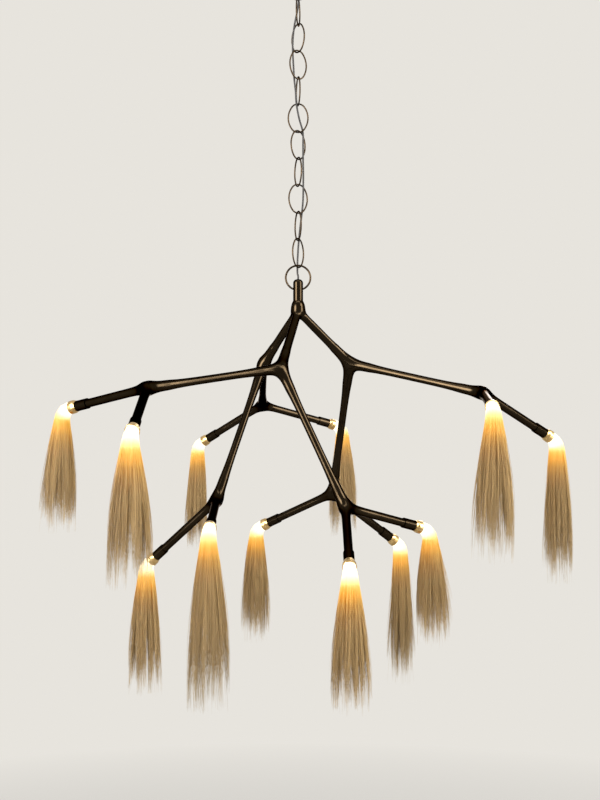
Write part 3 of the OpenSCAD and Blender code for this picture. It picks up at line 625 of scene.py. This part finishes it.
# How freely a strand picks one of the locks beside it
LOCK_CHOICE = 0.30
SHORTEST_LOCK, STRAND_SHORTER, SHORTER_SPREAD, FULL_LENGTH_FROM = 0.78, 0.36, (1.0, 2.4), 0.985
STRAND_SWAY, LOCK_SWAY = 0.0016, 0.004
SWAY_WAVE, SWAY_START = 2.4, 0.4
TONES, LOCK_TONE = 64, 0.45
FIRST_SEED = 100


def disc_places(rng, count, least, power):
    turn = rng.uniform(0, 2 * math.pi, count)
    share = rng.uniform(least, 1, count) ** power
    return np.stack([share * np.cos(turn), share * np.sin(turn)], 1)


def draw_bundle(rng):
    """Each strand's place, its length as a share of the drop, its sway and its tone."""
    own = disc_places(rng, STRANDS, *STRAND_PLACES)
    locks = disc_places(rng, LOCKS, *LOCK_PLACES)
    apart = np.linalg.norm(own[:, None] - locks[None], axis=2)
    lock = (apart + rng.uniform(0, LOCK_CHOICE, (STRANDS, LOCKS))).argmin(1)
    length = rng.uniform(SHORTEST_LOCK, 1.0, LOCKS)[lock]
    length = length * (1 - STRAND_SHORTER * rng.beta(*SHORTER_SPREAD, STRANDS))
    length[rng.uniform(size=STRANDS) > FULL_LENGTH_FROM] = 1.0
    sway = rng.normal(size=(STRANDS, 2)) * STRAND_SWAY
    lock_sway = (rng.normal(size=(LOCKS, 2)) * LOCK_SWAY)[lock]
    tone = rng.integers(0, TONES, LOCKS)[lock] * LOCK_TONE + rng.integers(0, TONES, STRANDS) * (1 - LOCK_TONE)
    return {"own": own, "lock": locks[lock], "length": length, "sway": sway, "lock_sway": lock_sway,
            "tone": np.round(tone)}


def hair_rows(b, k, length):
    """The bundle's middle, first side, radius, length so far, gather and wave at each ring."""
    tip = tip_point(b, k)
    way = unit(tip - tip_root(b, k))
    flat = unit(np.array([way[0], way[1], 0.0]))
    lean = math.asin(-way[2])

    def outward(theta):
        return math.sin(theta) * flat + math.cos(theta) * UP

    def bend(theta):
        return tip + HAIR_LEAD * way + HAIR_BEND * (outward(theta) - outward(lean))

    low = bend(math.pi / 2)
    fall = low[2] - (tip[2] - HAIR_DROP[k][b])
    turn_length = HAIR_BEND * (math.pi / 2 - lean)
    rows = [(tip + u * way, outward(lean), MOUTH_R, max(u, 0), 0.0, 0.0) for u in (-ROOT_DEPTH, HAIR_LEAD)]
    for u in BEND_STOPS:
        theta = lean + u * (math.pi / 2 - lean)
        radius = MOUTH_R + (HANG_R - MOUTH_R) * u
        rows.append((bend(theta), outward(theta), radius, HAIR_LEAD + turn_length * u, BEND_GATHER * u, 0.0))
    hang_rings = STRAND_RINGS - len(rows)
    for j in range(hang_rings):
        u = (j + 1) / hang_rings
        down = fall * u * length
        middle = low - down[:, None] * UP + HAIR_DRIFT * math.sin(u * math.pi / 2) * flat
        grow = 1 - (1 - min(1.0, u / GROWN_AT)) ** GROW_POWER
        radius = HANG_R + (HAIR_WIDTH[k][b] / 2 - HANG_R) * grow
        gather = BEND_GATHER + HANG_GATHER * u**GATHER_POWER
        rows.append((middle, flat, radius, HAIR_LEAD + turn_length + down, gather, u))
    return rows, flat


def hair_paths(bundle, rows, flat, side):
    """Every strand's path, and the length of hair up to each of its points."""
    path, along = [], []
    for middle, first, radius, far, gather, wave in rows:
        place = bundle["own"] * (1 - gather) + bundle["lock"] * gather
        offset = place[:, :1] * radius * first + place[:, 1:] * radius * side
        own_push = bundle["sway"] * math.sin(SWAY_WAVE * wave + SWAY_START)
        push = (own_push + bundle["lock_sway"] * wave**GATHER_POWER) * wave
        path.append(middle + (offset + push[:, :1] * flat + push[:, 1:] * side))
        along.append(np.broadcast_to(far, STRANDS))
    return np.stack(path, 1), np.stack(along, 1)


def hair_tubes(path, side):
    """The points and faces of a thin tube along each path."""
    ways = unit(np.gradient(path, axis=1))
    one = unit(side - (ways @ side)[..., None] * ways)
    two = np.cross(ways, one)
    thick = np.interp(np.arange(STRAND_RINGS), STRAND_R_AT, STRAND_R)
    turns = np.arange(STRAND_SIDES) * 2 * math.pi / STRAND_SIDES
    ring = np.cos(turns)[:, None] * one[:, :, None] + np.sin(turns)[:, None] * two[:, :, None]
    points = path[:, :, None] + thick[None, :, None, None] * ring
    strand = (np.arange(STRANDS) * STRAND_RINGS * STRAND_SIDES)[:, None, None]
    i = np.arange(STRAND_RINGS - 1)[None, :, None] * STRAND_SIDES
    a = np.arange(STRAND_SIDES)[None, None, :]
    p, q = strand + i + a, strand + i + (a + 1) % STRAND_SIDES
    return points.reshape(-1, 3), np.stack([p, q, q + STRAND_SIDES, p + STRAND_SIDES], -1).reshape(-1, 4)


def hair_mesh(name, points, quads, along, tone):
    mesh = bpy.data.meshes.new(name)
    mesh.vertices.add(len(points))
    mesh.vertices.foreach_set("co", points.ravel())
    mesh.loops.add(quads.size)
    mesh.loops.foreach_set("vertex_index", quads.ravel().astype(np.int32))
    mesh.polygons.add(len(quads))
    mesh.polygons.foreach_set("loop_start", np.arange(0, quads.size, 4, dtype=np.int32))
    mesh.update(calc_edges=True)
    mesh.polygons.foreach_set("use_smooth", np.ones(len(quads), bool))
    for label, value in (("along", along.ravel()), ("tone", np.repeat(tone / TONES, STRAND_RINGS))):
        numbers = np.repeat(value, STRAND_SIDES).astype(np.float32)
        mesh.attributes.new(label, "FLOAT", "POINT").data.foreach_set("value", numbers)
    # Every strand of one tone shares a column of the map, root at the bottom
    column = np.repeat(tone, (STRAND_RINGS - 1) * STRAND_SIDES)
    u = (column[:, None] + np.array([0.2, 0.8, 0.8, 0.2])[None]) / (TONES + 1)
    v = np.repeat(along, STRAND_SIDES, axis=1).reshape(-1)[quads] / HAIR_LENGTH
    mesh.uv_layers.new(name="OFBake").data.foreach_set("uv", np.stack([u, v], -1).ravel())
    mesh.materials.append(MATERIALS["horsehair"])
    return mesh


def make_tassel(b, k):
    node = f"tassel_{UNITS[b]}_{KINDS[k]}"
    bundle = draw_bundle(np.random.default_rng(FIRST_SEED + 10 * b + k))
    rows, flat = hair_rows(b, k, bundle["length"])
    side = np.array([-flat[1], flat[0], 0.0])
    path, along = hair_paths(bundle, rows, flat, side)
    points, quads = hair_tubes(path, side)
    mesh = hair_mesh(f"{node}_hair", points, quads, along, bundle["tone"])
    piece = bpy.data.objects.new(f"{node}_hair", mesh)
    bpy.context.scene.collection.objects.link(piece)
    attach(piece, "fixture")
    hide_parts(node)


for b in range(3):
    for k in range(4):
        make_tassel(b, k)

# Finish of the carried-over nodes
for node, piece in frame["nodes"].items():
    for place in piece.material_slots:
        place.link = "OBJECT"
        place.material = MATERIALS[SLOTS[node]]

# Studio
FLOOR, FLOOR_SIDES, FLOOR_RINGS = -2.45, 96, (1.5, 4.0, 16.0)
FADE_FROM, FADE_TO = 1.0, 3.4
BACKDROP = (0.80, 0.775, 0.725, 1.0)
WORLD_LIGHT, WORLD_STRENGTH = (0.92, 0.93, 0.95, 1.0), 0.62


def seen(nodes, links):
    """1 for what the camera, a gloss or a glass looks at, and 0 for the light that falls on things."""
    path = nodes.new("ShaderNodeLightPath")
    total = path.outputs["Is Camera Ray"]
    for name in ("Is Glossy Ray", "Is Transmission Ray"):
        both = nodes.new("ShaderNodeMath")
        both.operation = "MAXIMUM"
        links.new(total, both.inputs[0])
        links.new(path.outputs[name], both.inputs[1])
        total = both.outputs["Value"]
    return total


def floor_material():
    """Pale in the middle, where the shadow falls, and as the backdrop outside."""
    s = Shader("floor", Base_Color=(0.54, 0.525, 0.49, 1.0), Roughness=0.9, Specular_IOR_Level=0.2)
    far = s.nodes.new("ShaderNodeVectorMath")
    far.operation = "DISTANCE"
    s.links.new(s.coordinates, far.inputs[0])
    far.inputs[1].default_value = (0, 0, FLOOR)
    faded = s.span(far.outputs["Value"], 0, 1, FADE_FROM, FADE_TO)
    pale = s.nodes.new("ShaderNodeEmission")
    pale.inputs["Color"].default_value = BACKDROP
    mix = s.nodes.new("ShaderNodeMixShader")
    s.links.new(s.math("MULTIPLY", faded, seen(s.nodes, s.links)), mix.inputs[0])
    s.links.new(s.shader.outputs["BSDF"], mix.inputs[1])
    s.links.new(pale.outputs["Emission"], mix.inputs[2])
    s.links.new(mix.outputs["Shader"], s.nodes["Material Output"].inputs["Surface"])
    return s.material


def make_floor():
    count = FLOOR_SIDES
    turns = [2 * math.pi * i / count for i in range(count)]
    points = [(0, 0, FLOOR)] + [(r * math.cos(a), r * math.sin(a), FLOOR) for r in FLOOR_RINGS for a in turns]
    faces = [[0, 1 + i, 1 + (i + 1) % count] for i in range(count)]
    for j in range(len(FLOOR_RINGS) - 1):
        for i in range(count):
            p, q = 1 + j * count + i, 1 + j * count + (i + 1) % count
            faces.append([p, p + count, q + count, q])
    mesh = bpy.data.meshes.new("floor")
    mesh.from_pydata(points, [], faces)
    mesh.materials.append(floor_material())
    floor = bpy.data.objects.new("floor", mesh)
    bpy.context.scene.collection.objects.link(floor)


def make_world():
    world = bpy.data.worlds.new("studio")
    world.use_nodes = True
    nodes, links = world.node_tree.nodes, world.node_tree.links
    light = nodes["Background"]
    light.inputs["Color"].default_value = WORLD_LIGHT
    light.inputs["Strength"].default_value = WORLD_STRENGTH
    pale = nodes.new("ShaderNodeBackground")
    pale.inputs["Color"].default_value = BACKDROP
    mix = nodes.new("ShaderNodeMixShader")
    links.new(seen(nodes, links), mix.inputs[0])
    links.new(light.outputs["Background"], mix.inputs[1])
    links.new(pale.outputs["Background"], mix.inputs[2])
    links.new(mix.outputs["Shader"], nodes["World Output"].inputs["Surface"])
    bpy.context.scene.world = world


# Lamps look at the middle of the object. Cards are seen by metal and gloss alone
MIDDLE = Vector((0.0, 0.0, -1.1))


def add_lamp(name, at, size, power, only_glossy=False):
    lamp = bpy.data.objects.new(name, bpy.data.lights.new(name, "AREA"))
    lamp.data.shape = "RECTANGLE"
    lamp.data.size, lamp.data.size_y = size
    lamp.data.energy = power
    lamp.visible_diffuse = not only_glossy
    bpy.context.scene.collection.objects.link(lamp)
    lamp.location = at
    lamp.rotation_euler = (MIDDLE - Vector(at)).to_track_quat("-Z", "Y").to_euler()


make_floor()
make_world()
add_lamp("key", (-2.3, -2.2, -0.1), (0.9, 2.6), 62)
add_lamp("fill", (2.5, -1.8, -0.9), (0.5, 2.4), 25)
add_lamp("side", (2.0, -1.7, 0.9), (0.8, 0.8), 30)
add_lamp("back", (1.0, 2.6, 0.5), (0.5, 2.2), 20)
add_lamp("above", (0.0, -1.3, 1.7), (2.8, 0.5), 40)
add_lamp("card_left", (-2.2, -2.0, -0.6), (1.5, 2.4), 260, only_glossy=True)
add_lamp("card_right", (2.6, -1.2, 0.2), (0.9, 2.2), 130, only_glossy=True)

bpy.context.scene.view_settings.view_transform = "Standard"
